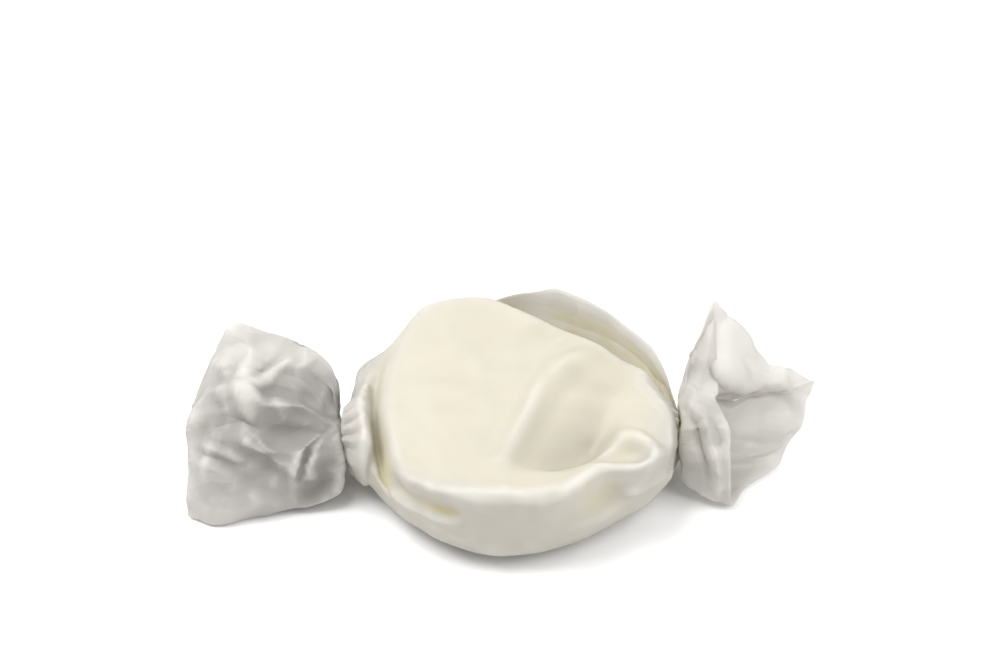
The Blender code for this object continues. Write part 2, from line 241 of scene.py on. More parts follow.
# Folds of the fans as they are seen from the front at the angle of VIEW_LIFT: face (1 outer, -1 inner), half
# width, height, and the points that each passes, across and up in that view
VIEW_LIFT = math.radians(42.0)
FAN_FOLDS = (
    (1, 1.3, 1.15, ((-16.6, 3.4), (-19.2, 4.7), (-22.5, 4.75), (-23.2, 5.0), (-24.9, 6.4))),
    (1, 0.8, 0.55, ((-24.9, 6.4), (-22.4, 7.4), (-20.6, 9.6))),
    (1, 0.6, -0.35, ((-23.2, 8.0), (-22.2, 8.7), (-20.6, 9.8))),
    (1, 1.1, 0.75, ((-24.9, 6.4), (-27.2, 5.9), (-28.4, 4.5), (-29.2, 2.2))),
    (1, 1.2, 0.60, ((-26.7, 12.4), (-24.6, 11.1), (-24.1, 9.9), (-24.2, 8.4), (-24.9, 6.4))),
    (1, 0.9, 0.35, ((-28.0, 9.6), (-26.4, 8.6), (-24.9, 6.4))),
    (1, 1.9, -1.0, ((-18.2, 2.6), (-20.0, 2.9), (-22.8, 3.1), (-25.4, 4.2))),
    (1, 0.9, 0.45, ((-24.7, 2.5), (-23.0, 1.1), (-21.0, -0.1), (-20.2, -0.25), (-19.3, 1.0), (-17.2, 2.7))),
    (1, 0.8, 0.30, ((-24.2, 2.9), (-22.6, 1.7), (-20.9, 0.5))),
    (1, 0.9, -0.30, ((-24.4, 1.3), (-22.8, 0.0), (-20.8, -1.2))),
    (1, 0.6, 0.40, ((-27.9, 1.5), (-24.6, 0.4))),
    (1, 0.9, -0.30, ((-28.0, 0.7), (-24.8, -0.5))),
    (1, 0.5, -0.80, ((-17.0, 3.0), (-18.2, 1.6), (-19.5, -1.5))),
    (1, 0.8, 0.60, ((-16.2, 2.5), (-15.9, -1.0), (-16.6, -2.8), (-19.0, -4.0))),
    (1, 1.2, -0.50, ((-17.2, 1.2), (-17.4, -1.6), (-18.8, -2.8))),
    (1, 1.0, 0.35, ((-27.6, -0.1), (-23.2, -3.2), (-19.0, -4.1))),
    (1, 0.7, -0.30, ((-19.0, 6.4), (-18.0, 5.4))),
    (1, 0.6, 0.35, ((-19.2, 10.6), (-19.1, 9.0))),
    (1, 0.6, 0.35, ((-19.8, 8.6), (-18.3, 9.6))),
    (1, 0.7, -0.75, ((16.2, 3.6), (16.8, 1.3), (17.9, -1.7))),
    (1, 0.8, 0.60, ((15.9, 5.4), (17.0, 4.0), (18.0, 1.4), (18.4, -2.6))),
    (1, 0.8, -0.60, ((17.8, 4.0), (18.3, 2.0))),
    (1, 0.6, 0.30, ((19.0, 3.6), (19.2, -3.0))),
    (1, 1.2, 0.35, ((15.4, 6.9), (17.6, 6.7), (18.0, 6.8))),
    (1, 0.9, -0.35, ((16.6, 8.6), (19.8, 8.1))),
    (1, 0.8, 0.35, ((16.4, 6.2), (17.2, 9.4), (17.9, 13.4))),
    (-1, 0.9, 0.50, ((18.0, 6.7), (19.75, 6.2), (20.9, 6.9), (22.6, 7.5), (24.7, 7.4), (25.8, 6.1),
                     (26.2, 4.6), (26.0, 3.5))),
    (-1, 1.2, -0.50, ((18.6, 5.6), (19.9, 5.0), (21.5, 5.9), (24.2, 6.1), (25.0, 4.6))),
    (-1, 0.8, -0.25, ((20.6, 2.4), (22.4, 1.8), (23.8, 2.0))),
    (-1, 0.6, 0.30, ((20.0, 0.8), (21.8, 0.4), (24.4, 1.6))),
    (-1, 0.9, 0.40, ((19.8, 13.2), (21.3, 10.6), (22.6, 9.4))),
    (-1, 0.9, -0.25, ((22.0, 11.6), (22.6, 9.6), (25.6, 8.6))),
)

# Tucks of the wall: the clock and height of each end, how far the lower lip stands out, how far down it
# reaches, and how strongly the mouth above it takes the yellow of the hollows, partly painted bounced light
TUCKS = (
    (210.0, 4.8, 250.0, 6.1, 0.85, 1.4, 1.0),
    (311.0, 6.6, 333.0, 5.6, 0.45, 0.9, 0.0),
    (316.0, 3.4, 340.0, 4.6, 0.25, 1.0, 0.0),
)

# Forms of the front wall as seen from the front: x, z, radius along and across, turn in degrees
PUCKER = (7.7, 6.1, 2.6, 1.7, 14)
BEAD = (10.3, 6.4, 2.0, 0.9, 12)
SMOOTH_BY_NECK = (-11.8, 3.6, 3.0, 2.6, 0)
PUCKER_DEPTH = 0.45
BEAD_HEIGHT = 0.30

# Crumpling of the paper: size of its facets, seed, and its depth everywhere, what the fans add to it, and
# what the sides of the body add
CRUMPLES = ((7.5, 3, 0.05, 0.30, 0.16), (3.6, 7, 0.03, 0.15, 0.12), (1.7, 15, 0.007, 0.060, 0.035))

# The mesh of the sheet, how its rings crowd towards the necks, and its flat length round the body
RINGS_ON_BODY = 118
RING_CROWDING = 1.36
RINGS_IN_TWIST = 7
RINGS_IN_FAN = 50
STRIPS_AROUND = 212
SHEET_AROUND = 88.0

# The stage, in metres and watts: strength of the room's light, each softbox's place, size and power, the
# place they face, and the camera
ROOM_LIGHT = 0.56
SOFTBOXES = (
    ("left softbox", (-0.14, 0.04, 0.25), 0.24, 1.10),
    ("right softbox", (0.18, -0.04, 0.18), 0.20, 0.42),
)
LIGHT_AIM = (0.0, 0.0, 0.005)
CAMERA_LENS = 100.0
CAMERA_DISTANCE = 0.2564
CAMERA_AIM = (-0.00156, 0.0190, 0.0)


def smooth_step(value):
    """0 below 0, 1 above 1, and an even ease between."""
    t = np.clip(value, 0.0, 1.0)
    return t * t * (3.0 - 2.0 * t)


def rises(value, start, width):
    """0 up to the start, and 1 from a width after it."""
    return smooth_step((value - start) / width)


def falls(value, end, width):
    """1 until a width before the end, and 0 from the end."""
    return smooth_step((end - value) / width)


def zigzag(value):
    """A triangle wave from -1 to 1 with a period of 1."""
    return 4.0 * np.abs(value - np.floor(value + 0.5)) - 1.0


def crumple(points, size, seed, folds=7):
    """Straight-edged facets, from about -1 to 1: sets of flat folds that cross each other in space."""
    draws = np.random.default_rng(seed)
    height = np.zeros(points.shape[:-1])
    for _ in range(folds):
        way = draws.normal(size=3)
        way = way / np.linalg.norm(way)
        across = np.cross(way, draws.normal(size=3))
        across = across / np.linalg.norm(across)
        length = size * draws.uniform(0.8, 1.7)
        there = points @ across / (length * 1.9) + draws.uniform(0.0, 1.0)
        here = points @ way / length + draws.uniform(0.0, 1.0)
        height = height + zigzag(here + 0.18 * zigzag(there)) * (0.55 + 0.45 * zigzag(there * 0.57 + 0.2))
    return height / math.sqrt(folds)


def form_at(x, y, at_x, at_y, radius_x, radius_y, turn_deg):
    """1 at a form's centre, falling smoothly to 0 at its outline."""
    turn = math.radians(turn_deg)
    along = (x - at_x) * math.cos(turn) + (y - at_y) * math.sin(turn)
    across = (y - at_y) * math.cos(turn) - (x - at_x) * math.sin(turn)
    return smooth_step(1.0 - np.sqrt((along / radius_x) ** 2 + (across / radius_y) ** 2))


def from_segment(x, y, x0, y0, x1, y1):
    """Distance from a straight line, how far to its left, how far along it, and its length."""
    length = math.hypot(x1 - x0, y1 - y0)
    ux, uy = (x1 - x0) / length, (y1 - y0) / length
    across = (y - y0) * ux - (x - x0) * uy
    along = np.clip((x - x0) * ux + (y - y0) * uy, 0.0, length)
    away = np.hypot(x - x0 - ux * along, y - y0 - uy * along)
    return away, across, along, length


def line_distance(x, y, line):
    """Distance from a bent line, and how far along it the nearest place is, 0 to 1."""
    best = np.full(np.shape(x), np.inf)
    place = np.zeros(np.shape(x))
    before = 0.0
    for start, end in zip(line, line[1:]):
        away, _, along, length = from_segment(x, y, *start, *end)
        nearer = away < best
        best = np.where(nearer, away, best)
        place = np.where(nearer, before + along, place)
        before += length
    return best, place / before


def fold_at(x, y, half_width, line, softness=0.0):
    """1 on a fold's crest and 0 at its foot, lower at its ends, with its sides rounded by softness."""
    away, place = line_distance(x, y, line)
    straight = np.clip(1.0 - away / half_width, 0.0, 1.0)
    crest = straight + (smooth_step(straight) - straight) * softness
    return crest * (0.3 + 0.7 * np.sin(math.pi * np.clip(0.1 + 0.8 * place, 0.0, 1.0)))


def by_clock(table, clock, turn=0.0):
    """A table's value at a clock in radians, turned on by some degrees."""
    return np.interp(np.degrees(clock) % 360.0 + turn, *zip(*table), period=360.0)


def outline_radius(outline, clock):
    """The radius of an outline at a clock in radians, with eased corners."""
    turns = (-4.0, -2.0, 0.0, 2.0, 4.0)
    return sum(by_clock(outline, clock, turn) for turn in turns) / len(turns)


def eased_curve(value, curve, spread):
    """A curve's height at a value, with its corners eased over the spread."""
    shifts = np.linspace(-spread, spread, 5)
    return sum(np.interp(value + shift, *zip(*curve)) for shift in shifts) / len(shifts)


def valley(x, y, long_width, steep_width, line):
    """Depth of a valley with a long slope at its left, steeper downwards, and a steep side at its right."""
    total = np.zeros(np.broadcast(x, y).shape)
    for shift_x, shift_y in EASING_SHIFTS:
        depth = np.zeros_like(total)
        for (*start, depth0), (*end, depth1) in zip(line, line[1:]):
            away, across, along, length = from_segment(x + shift_x, y + shift_y, *start, *end)
            long_slope = np.clip(1.0 - away / long_width, 0.0, 1.0) ** 1.6
            slope = np.where(across > 0.0, long_slope, smooth_step(1.0 - away / steep_width))
            depth = np.maximum(depth, slope * (depth0 + (depth1 - depth0) * along / length))
        total = total + depth
    return total / len(EASING_SHIFTS)


def valleys(x, y):
    """Depth of all the valleys of the top face."""
    return np.maximum.reduce([valley(x, y, *row) for row in FACE_VALLEYS])


def face_height(x, y):
    """Height of the top face of the puck without its relief."""
    rim = np.hypot(x, y) / outline_radius(FACE_OUTLINE, np.arctan2(y, x))
    drop = 0.25 * rises(x, 8.0, 6.0) + 0.35 * falls(x, -5.0, 6.0)
    return eased_curve(y, FACE_PROFILE, 0.9) - drop * np.minimum(rim, 1.15) ** 3


def face_relief(x, y, z, paper=True):
    """How far the relief lifts each point of the puck, or of the creased paper on it: none on the wall."""
    on_top = rises(z - face_height(x, y), -2.0, 1.7)
    height = -valleys(x, y)
    for at_x, at_y, radius_x, radius_y, turn, rise in FACE_FORMS:
        height = height + rise * form_at(x, y, at_x, at_y, radius_x, radius_y, turn)
    for half_width, rise, line in FACE_ROLLS:
        height = height + rise * fold_at(x, y, half_width, line, 1.0)
    if paper:
        for half_width, rise, line in FACE_CREASES:
            height = height + rise * fold_at(x, y, half_width, line)
    return height * on_top


def puck_share(x, y, z, grow, paper):
    """Below 1 inside the puck's hull and above 1 outside it, with grow added all round."""
    clock = np.arctan2(y, x)
    rim = outline_radius(FACE_OUTLINE, clock) + grow
    waist = outline_radius(WAIST_OUTLINE if paper else CANDY_OUTLINE, clock) + grow
    if not paper:
        rim = np.minimum(rim, waist - CANDY_INSET)
    top = face_height(x, y) + grow - WAIST_Z
    bottom = WAIST_Z - UNDERSIDE_Z + grow + UNDERSIDE_SAG
    up = np.clip((z - WAIST_Z) / top, 0.0, 1.4)
    down = np.clip((WAIST_Z - z) / bottom, 0.0, 1.4)
    undercut = by_clock(UNDERCUTS, clock)
    wall = waist + (rim - waist) * up**0.85 - undercut * down ** (3.5 - undercut)
    flat = np.hypot(x, y) / wall
    power = np.where(z > WAIST_Z, by_clock(TOP_RIM_POWERS, clock), BOTTOM_RIM_POWER)
    return flat**power + np.where(z > WAIST_Z, up, down) ** power


def hull_reach(x, y, z, way_x, way_y, way_z, grow, paper=True):
    """How far the hull reaches from a point in a direction."""
    near = np.zeros(np.broadcast(x, y, z, way_x, way_y, way_z).shape)
    far = near + FAR_OUT
    for _ in range(HALVINGS):
        middle = 0.5 * (near + far)
        inside = puck_share(x + middle * way_x, y + middle * way_y, z + middle * way_z, grow, paper) < 1.0
        near, far = np.where(inside, middle, near), np.where(inside, far, middle)
    return near


def pleats_at(share, seed):
    """Uneven gathers round a neck, from 0 on a crest to 1 in a valley."""
    draws = np.random.default_rng(seed)
    steps = np.cumsum(draws.uniform(0.55, 1.45, PLEATS))
    edges = np.concatenate([[0.0], steps / steps[-1]])
    phase = np.interp(share, edges, np.arange(PLEATS + 1))
    depth = np.interp(share, edges, draws.uniform(0.45, 1.0, PLEATS + 1))
    return (0.5 + 0.5 * zigzag(phase)) * depth


def gathers(x, share):
    """The gathers of the neck that each point belongs to."""
    return np.where(x < 0.0, pleats_at(share, LEFT_SEED)[None, :], pleats_at(share, RIGHT_SEED)[None, :])


def body_rings(share):
    """The rings of the sheet round the puck, and the way each point lies from the twist axis."""
    even = np.linspace(-1.0, 1.0, RINGS_ON_BODY)
    spacing = 0.5 + 0.5 * np.sin(RING_CROWDING * even) / math.sin(RING_CROWDING)
    sections = LEFT_NECK[0] + (RIGHT_NECK[0] - LEFT_NECK[0]) * spacing
    x = sections[:, None] * np.ones_like(share)[None, :]
    neck = [np.where(x < 0.0, at_left, at_right) for at_left, at_right in zip(LEFT_NECK, RIGHT_NECK)]
    to_go = np.abs(neck[0] - x)
    to_neck = 1.0 - rises(to_go, 0.0, 6.0)
    centre_y, centre_z = to_neck * neck[1], WAIST_Z + to_neck * (neck[2] - WAIST_Z)
    start = np.radians(np.interp(x, *zip(*FREE_EDGE)))
    way = start + (math.radians(INNER_EDGE) - start) * share[None, :]
    reach = hull_reach(x, centre_y, centre_z, 0.0, np.cos(way), -np.sin(way), PAPER_GAP)
    gather = gathers(x, share)
    wide, high = neck[3] + 1.5 * to_go, neck[4] + 0.5 * to_go
    cone = 1.0 / np.sqrt((np.cos(way) / wide) ** 2 + (np.sin(way) / high) ** 2)
    cone = cone * (1.0 - NECK_GATHER * gather * (1.0 - rises(to_go, 0.0, 2.4)))
    pinch = smooth_step(1.0 - to_go / 0.9)
    reach = np.maximum(reach, cone * (1.0 - rises(to_go, 2.0, 2.0))) * (1.0 - pinch) + cone * pinch
    reach = reach - SHOULDER_GATHER * gather * (1.0 - pinch) * (1.0 - rises(to_go, 0.6, 2.8))
    lifted = 1.0 - rises(way, math.radians(8), math.radians(55))
    standing = (1.0 - rises(way, start, math.radians(36))) * eased_curve(x, FLAP_STAND, 0.8)
    lip = np.clip(1.0 - (way - start) / math.radians(6.5), 0.0, 1.0) ** 1.5 * rises(x, 1.0, 3.0)
    overlap = OVERLAP_RISE * lifted * (1.0 - 0.6 * pinch)
    reach = reach + overlap + (standing + LIP_RISE * lip) * (1.0 - pinch)
    points = np.stack([x, centre_y + reach * np.cos(way), centre_z - reach * np.sin(way)], axis=2)
    inner = rises(way, math.radians(120), math.radians(30))
    points[..., 2] = points[..., 2] + inner * face_relief(x, points[..., 1], points[..., 2])
    return points, way


def past_corner(x, y):
    """How far beyond the edge of the corner that is cut off at the back right."""
    return (x - CORNER_PLACE[0]) * math.cos(CORNER_FACING) + (y - CORNER_PLACE[1]) * math.sin(CORNER_FACING)


def shape_body(points, way):
    """Cuts the corner off at the back right and sinks the pocket at the left, with how strongly each place
    takes the yellow of the hollows: partly the candy seen through the paper, partly painted light bounced
    through the candy.
    """
    x, y, z = np.moveaxis(points, 2, 0)
    clock = np.degrees(np.arctan2(y, x)) % 360.0
    beyond = np.hypot(x, y) - outline_radius(FACE_OUTLINE, np.radians(clock)) - PAPER_GAP
    cut = rises(np.degrees(way), 200.0, 40.0) * rises(past_corner(x, y), 0.0, 1.4) * rises(z, 3.6, 3.0)
    behind = falls(np.degrees(way), 60.0, 30.0) * rises(x, 2.0, 3.0) * falls(z, 8.6, 2.4)
    here = rises(clock, 148.0, 22.0) * falls(clock, 228.0, 14.0) * rises(z, 4.0, 2.0)
    pocket = np.exp(-(((beyond - 0.6) / 0.5) ** 2)) * here * (0.45 + 0.55 * rises(clock, 180.0, 26.0))
    wall = rises(beyond, 1.1, 0.8) * here * falls(clock, 226.0, 20.0)
    ripples = zigzag(clock / 7.3) * 0.10 * rises(beyond, 0.6, 0.8) * here
    lined = rises(clock, 150.0, 16.0) * falls(clock, 232.0, 14.0) * rises(z, 2.2, 1.5)
    beside = lined * rises(beyond, -0.1, 0.5) * falls(beyond, 2.6, 1.2)
    z = z - CORNER_DEPTH * cut - POCKET_DEPTH * pocket + POCKET_WALL * wall + ripples
    # Yellower paper in the cut gap, behind the flap, in the pocket and beside it: partly the candy seen
    # through the paper, partly painted light bounced through the candy
    depth = np.maximum.reduce([0.85 * cut, 0.3 * behind, 0.8 * pocket**2.0, 0.12 * beside])
    return np.stack([x, y, z], axis=2), depth


def twist_rings(neck, way, turned, share, seed):
    """The rings of the twist, from the neck outwards, turning from the body's way round to the fan's."""
    side = math.copysign(1.0, neck[0])
    rings = []
    for k in range(1, RINGS_IN_TWIST + 1):
        t = k / RINGS_IN_TWIST
        angle = way + (turned - way) * t
        squeeze = (1.0 - 0.20 * math.sin(math.pi * t)) * (1.0 - TWIST_GATHER * pleats_at(share, seed))
        lift = 0.3 * (1.0 - smooth_step(share * 6.0)) * (1.0 - t)
        radius_y = (neck[3] + (TWIST_RADIUS - neck[3]) * t) * squeeze + lift
        radius_z = (neck[4] + (TWIST_RADIUS - neck[4]) * t) * squeeze + lift
        x = np.full_like(share, neck[0] + side * TWIST_LENGTH * t)
        y = neck[1] + radius_y * np.cos(angle)
        z = neck[2] - radius_z * np.sin(angle)
        rings.append(np.stack([x, y, z], axis=1))
    return rings


def left_nodes():
    """Where the left fan's fold lines cross its stations, neck first: out, y and z from the neck's end."""
    table = np.array(LEFT_FOLDS, float)
    clock = np.radians(table[:, 0])
    radius = np.hstack([np.full((len(table), 1), TWIST_RADIUS), table[:, 1:]])
    out = np.array((0.0,) + LEFT_STATIONS)[None, :] * np.ones_like(radius)
    nodes = np.stack([out, radius * np.cos(clock)[:, None], -radius * np.sin(clock)[:, None]], axis=2)
    return np.swapaxes(nodes, 0, 1), clock


def right_nodes():
    """The same for the right fan, whose stations are neck, throat, hollow, ridge and rim."""
    nodes = np.zeros((6, len(RIGHT_FOLDS), 3))
    clocks = []
    for j, fold in enumerate(RIGHT_FOLDS):
        neck_clock, ridge_out, ridge_r, ridge_clock, rim_out, rim_r, rim_clock, back = fold
        widening = ridge_r - TWIST_RADIUS
        rows = (
            (0.0, TWIST_RADIUS, neck_clock),
            (0.02 * ridge_out, TWIST_RADIUS + 0.50 * widening, neck_clock),
            (0.45 * ridge_out, TWIST_RADIUS + 0.80 * widening, neck_clock + 0.6 * back),
            (0.78 * ridge_out, TWIST_RADIUS + 0.95 * widening, ridge_clock + back),
            (ridge_out, ridge_r, ridge_clock),
            (rim_out, rim_r, rim_clock),
        )
        for i, (out, radius, clock) in enumerate(rows):
            turn = math.radians(clock)
            nodes[i, j] = (out, radius * math.cos(turn), -radius * math.sin(turn))
        clocks.append(math.radians(neck_clock))
    return nodes, np.array(clocks)


def net_lengths(nodes, axis):
    """Mean length of a net up to each of its stations (axis 0) or fold lines (axis 1)."""
    steps = np.linalg.norm(np.diff(nodes, axis=axis), axis=2).mean(axis=1 - axis)
    return np.concatenate([[0.0], np.cumsum(steps)])


def spread_rows(nodes, count):
    """Rows between a net's stations, spaced evenly along its fold lines."""
    lengths = net_lengths(nodes, 0)
    return np.interp(np.linspace(0.0, lengths[-1], count + 1)[1:], lengths, np.arange(len(nodes)))


def spread_columns(nodes):
    """The share of the sheet at which each fold line lies, by the mean distance between the lines."""
    lengths = net_lengths(nodes, 1)
    even = np.linspace(0.0, 1.0, nodes.shape[1])
    return 0.6 * lengths / lengths[-1] + 0.4 * even


def net_points(nodes, rows, columns):
    """Points on the flat triangles of a net. Each cell folds along the diagonal that stands higher."""
    i = np.minimum(rows.astype(int), nodes.shape[0] - 2)[:, None]
    j = np.minimum(columns.astype(int), nodes.shape[1] - 2)[None, :]
    a, b = (rows[:, None] - i)[..., None], (columns[None, :] - j)[..., None]
    p00, p01, p10, p11 = nodes[i, j], nodes[i, j + 1], nodes[i + 1, j], nodes[i + 1, j + 1]
    one = p00 * (1 - np.maximum(a, b)) + p11 * np.minimum(a, b) + np.where(a > b, p10, p01) * np.abs(a - b)
    low, high = np.maximum(1 - a - b, 0), np.maximum(a + b - 1, 0)
    two = p00 * low + p11 * high + p01 * np.minimum(b, 1 - a) + p10 * np.minimum(a, 1 - b)
    away = np.linalg.norm((p00 + p11)[..., 1:], axis=2) > np.linalg.norm((p01 + p10)[..., 1:], axis=2)
    return np.where(away[..., None], one, two)


def fan_rings(neck, nodes, line_shares, share):
    """The rings of a fan, outwards from the neck."""
    side = math.copysign(1.0, neck[0])
    rows = spread_rows(nodes, RINGS_IN_FAN)
    columns = np.interp(share, line_shares, np.arange(nodes.shape[1]))
    points = net_points(nodes, rows, columns)
    start = np.array([neck[0] + side * TWIST_LENGTH, neck[1], neck[2]])
    return [start + ring * (side, 1.0, 1.0) for ring in points]


def grid_faces(points):
    """The four corners of each face between a grid of points."""
    index = np.arange(points.shape[0] * points.shape[1]).reshape(points.shape[:2])
    corners = (index[:-1, :-1], index[1:, :-1], index[1:, 1:], index[:-1, 1:])
    return np.stack(corners, axis=2).reshape(-1, 4).tolist()


def surface_normals(points):
    """Unit normals of a grid of points, out of the sheet's outer face."""
    along = np.gradient(points, axis=0)
    around = np.gradient(points, axis=1)
    normals = np.cross(along, around)
    return normals / np.maximum(np.linalg.norm(normals, axis=2, keepdims=True), 1e-9)


def eased(points, share, rounds):
    """The points drawn towards their neighbours' middle by share, which rounds the creases off."""
    for _ in range(rounds):
        middle = points.copy()
        middle[1:-1] = 0.25 * points[:-2] + 0.5 * points[1:-1] + 0.25 * points[2:]
        wide = middle.copy()
        wide[:, 1:-1] = 0.25 * middle[:, :-2] + 0.5 * middle[:, 1:-1] + 0.25 * middle[:, 2:]
        points = points + (wide - points) * share
    return points


def tucks(points, normals):
    """Lays tucks, a pucker and a bead into the front wall and eases two creases, with how strongly the tuck
    mouths and the pucker take the yellow of the hollows, partly painted bounced light.
    """
    x, y, z = np.moveaxis(points, 2, 0)
    clock = np.degrees(np.arctan2(y, x)) % 360.0
    out = np.zeros_like(x)
    depth = np.zeros_like(x)
    for clock0, z0, clock1, z1, rise, reach, mouth in TUCKS:
        share = (clock - clock0) / (clock1 - clock0)
        below = z0 + (z1 - z0) * np.clip(share, 0.0, 1.0) - z
        inside = rises(share, -0.05, 0.40) * falls(share, 1.08, 0.16)
        lip = np.where(below > 0, np.exp(-below / reach), -0.9 * np.exp(below / (0.5 * reach)))
        soft = np.clip(np.abs(below) / 0.45, 0.0, 1.0)
        out = out + rise * lip * soft * inside
        open_end = rises(share, 0.55, 0.25)
        # The mouth of a tuck takes the hollows' yellow: partly painted bounced light
        depth = np.maximum(depth, mouth * np.exp(-(((below + 0.2) / 0.26) ** 2)) * inside * open_end)
    pucker = form_at(x, z, *PUCKER) * falls(y, -8.0, 2.0)
    bead = form_at(x, z, *BEAD) * falls(y, -7.0, 2.0)
    front = falls(y, -3.0, 2.0)
    moved = points + normals * (out * front - PUCKER_DEPTH * pucker + BEAD_HEIGHT * bead)[..., None]
    by_neck = form_at(x, z, *SMOOTH_BY_NECK) * falls(y, -3.5, 2.0)
    by_corner = np.exp(-((past_corner(x, y) / 1.1) ** 2)) * rises(z, 6.0, 1.5) * rises(y, 0.0, 2.0)
    moved = moved + (eased(moved, 1.0, 5) - moved) * np.maximum(by_neck, by_corner)[..., None]
    # The pucker takes a little of the hollows' yellow, partly painted bounced light
    return moved, np.maximum(depth * front, 0.22 * pucker)


def fold_fans(points, normals, in_fan):
    """Lays the folds of FAN_FOLDS into the fans."""
    across = points[..., 0]
    up = points[..., 1] * math.sin(VIEW_LIFT) + points[..., 2] * math.cos(VIEW_LIFT)
    facing = -normals[..., 1] * math.cos(VIEW_LIFT) + normals[..., 2] * math.sin(VIEW_LIFT)
    ridges = np.zeros_like(across)
    grooves = np.zeros_like(across)
    for face, half_width, rise, line in FAN_FOLDS:
        seen = rises(facing * face, 0.05, 0.3)
        out = face * rise * fold_at(across, up, half_width, line, 0.15) * seen
        ridges = np.maximum(ridges, out)
        grooves = np.minimum(grooves, out)
    return points + normals * ((ridges + grooves) * np.clip(in_fan * 4.0, 0.0, 1.0)[:, None])[..., None]


def sheet_points():
    """The whole sheet as rings from the left rim to the right, with the weight of the hollows' yellow, partly
    painted bounced light, and how far in a fan each is.
    """
    even = np.linspace(0.0, 1.0, 401)
    at_back = rises(even, 0.08, 0.08) * falls(even, 0.45, 0.08)
    at_rim = rises(even, 0.525, 0.015) * falls(even, 0.585, 0.02)
    crowding = np.cumsum(1.15 - 0.6 * at_back + 2.0 * at_rim)
    share = np.interp(np.linspace(crowding[0], crowding[-1], STRIPS_AROUND + 1), crowding, even)
    body, way = body_rings(share)
    body, depth = shape_body(body, way)
    parts = []
    for neck, (nodes, clocks), at_neck, seed in (
        (LEFT_NECK, left_nodes(), way[0], LEFT_SEED),
        (RIGHT_NECK, right_nodes(), way[-1], RIGHT_SEED),
    ):
        line_shares = spread_columns(nodes)
        turned = np.interp(share, line_shares, clocks)
        twist = twist_rings(neck, at_neck, turned, share, seed)
        parts.append(twist + fan_rings(neck, nodes, line_shares, share))
    points = np.array(parts[0][::-1] + list(body) + parts[1])
    beside = RINGS_IN_FAN + RINGS_IN_TWIST
    depth = np.pad(depth, ((beside, beside), (0, 0)))
    row = np.arange(len(points), dtype=float)
    in_fan = np.clip(np.maximum(beside - row, row - (len(points) - 1 - beside)) / 14.0, 0.0, 1.0)
    return points, depth, in_fan, share


def gathered_layers_and_shade(points):
    """How much the fans are darkened, 0 to 1: painted shade, partly the greyer look of layered paper. Most
    near the twist axis, least at the fans' rims, and the right fan a quarter as much as the left.
    """
    x, y, z = np.moveaxis(points, 2, 0)
    neck = np.where((x < 0)[..., None], LEFT_NECK[:3], RIGHT_NECK[:3])
    away = np.hypot(y - neck[..., 1], z - neck[..., 2])
    half = 0.5 * (len(points) - 1)
    ring = np.abs(np.arange(len(points)) - half)[:, None] / half
    # The left fan takes four times the painted shade of the right
    shade_by_side = np.where(x < 0.0, 1.0, 0.25)
    return falls(away, 8.2, 4.5) * rises(ring, 0.5, 0.06) * shade_by_side * (1.0 - 0.8 * rises(ring, 0.86, 0.14))


def wrapper_points(crumpled):
    """The finished sheet in millimetres: points, lengths both ways, the weight of the hollows' yellow (partly
    painted bounced light), the painted shade of the top face's valleys, and crests.
    """
    points, depth, in_fan, share = sheet_points()
    points = eased(points, 0.45, 1)
    steps = np.linalg.norm(np.gradient(points, axis=0), axis=2).mean(axis=1)
    along = np.cumsum(steps)[:, None] * np.ones_like(share)
    around = SHEET_AROUND * share[None, :] * np.ones((len(points), 1))
    points, tucked = tucks(points, surface_normals(points))
    fan = in_fan[:, None]
    gather = gathers(points[..., 0], share) * fan * np.exp(-fan / 0.35)
    points = points - surface_normals(points) * (FAN_GATHER * gather)[..., None]
    points = fold_fans(points, surface_normals(eased(points, 1.0, 8)), in_fan)
    normals = surface_normals(eased(points, 1.0, 2))
    side = rises(np.hypot(points[..., 0], points[..., 1]), 12.8, 1.5)
    relief = sum(
        crumple(points, size, seed) * (everywhere + in_fans * fan + on_sides * side)
        for size, seed, everywhere, in_fans, on_sides in CRUMPLES
    )
    points = points + normals * (crumpled * relief)[..., None]
    points = eased(points, 0.25, 1)
    x, y, z = np.moveaxis(points, 2, 0)
    # Painted shade: the paper is darker the deeper the top face's valleys go
    valley_shade = np.clip(valleys(x, y) / 1.7, 0.0, 1.0) * rises(z - face_height(x, y), -3.2, 1.5)
    floor = 0.12 + 0.25 * fan
    points[..., 2] = np.where(z < floor, floor * np.exp(np.minimum(z - floor, 0.0) / 1.2), z)
    normals = surface_normals(points)
    crest = ((points - eased(points, 1.0, 3)) * normals).sum(axis=2)
    return points, along, around, np.maximum(depth, tucked), valley_shade, crest


class TaffySizes(bpy.types.PropertyGroup):
    """Sizes of the candy and its paper."""

    paper_thickness: bpy.props.FloatProperty(
        name="Paper thickness", description="Thickness of the waxed paper", default=0.00009, unit="LENGTH"
    )
    candy_gap: bpy.props.FloatProperty(
        name="Paper clearance", description="Least gap between the candy and its paper", default=0.00022,
        unit="LENGTH"
    )
    crumpling: bpy.props.FloatProperty(
        name="Crumpling", description="How deeply the paper is crumpled", default=1.0, min=0.0, max=2.0
    )


# What every colour that can be changed has in common
COLOUR = {"subtype": "COLOR", "min": 0.0, "max": 1.0}


